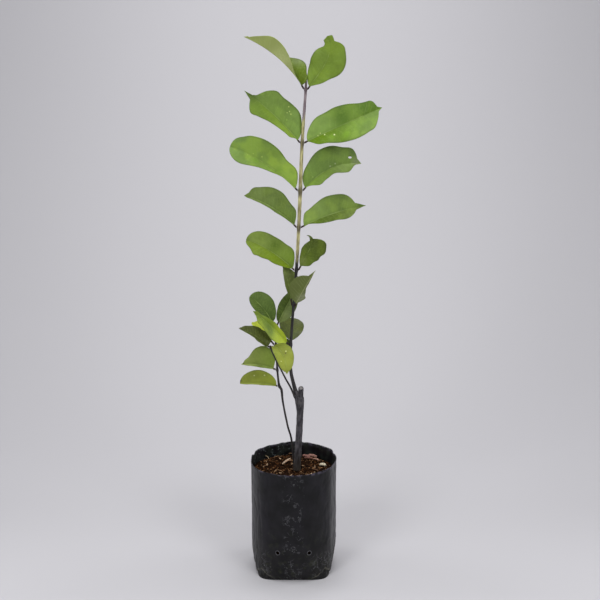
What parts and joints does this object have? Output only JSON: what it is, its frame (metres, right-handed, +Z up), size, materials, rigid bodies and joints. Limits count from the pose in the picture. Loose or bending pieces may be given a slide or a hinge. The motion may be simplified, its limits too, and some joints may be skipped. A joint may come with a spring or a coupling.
{
  "type": "potted guava sapling",
  "caption": "Young guava tree with a slim upright leader, opposite oval leaves, a pruned trunk stub and a thin basal shoot, growing in a square black nursery bag of soil.",
  "frame": {"origin": "centre of the bag's flat underside, on the ground", "axes": "+Z up along the tree, -Y towards the viewer of the picture, +X to the right of the picture"},
  "size_m": [0.1675, 0.1068, 0.625],
  "materials": {
    "black_film": "satin",
    "potting_soil": "matte",
    "trunk_bark": "matte",
    "leader_bark": "satin",
    "basal_shoot_bark": "satin",
    "side_twig_bark": "satin",
    "leaf_green": "satin"
  },
  "bodies": {
    "root": {"bag": "black_film", "soil": "potting_soil", "trunk": "trunk_bark", "leader": "leader_bark", "basal_shoot": "basal_shoot_bark", "side_twig": "side_twig_bark", "left_leaf_1": "leaf_green", "right_leaf_1": "leaf_green", "left_leaf_2": "leaf_green", "right_leaf_2": "leaf_green", "left_leaf_3": "leaf_green", "right_leaf_3": "leaf_green", "left_leaf_4": "leaf_green", "right_leaf_4": "leaf_green", "left_leaf_5": "leaf_green", "right_leaf_5": "leaf_green", "high_left_leaf": "leaf_green", "high_right_leaf": "leaf_green", "inner_left_leaf": "leaf_green", "inner_right_leaf": "leaf_green", "shoot_top_left_leaf": "leaf_green", "shoot_top_right_leaf": "leaf_green", "shoot_left_leaf": "leaf_green", "shoot_right_leaf": "leaf_green", "low_left_leaf": "leaf_green", "lowest_left_leaf": "leaf_green", "twig_left_leaf": "leaf_green", "twig_right_leaf": "leaf_green"}
  },
  "joints": []
}
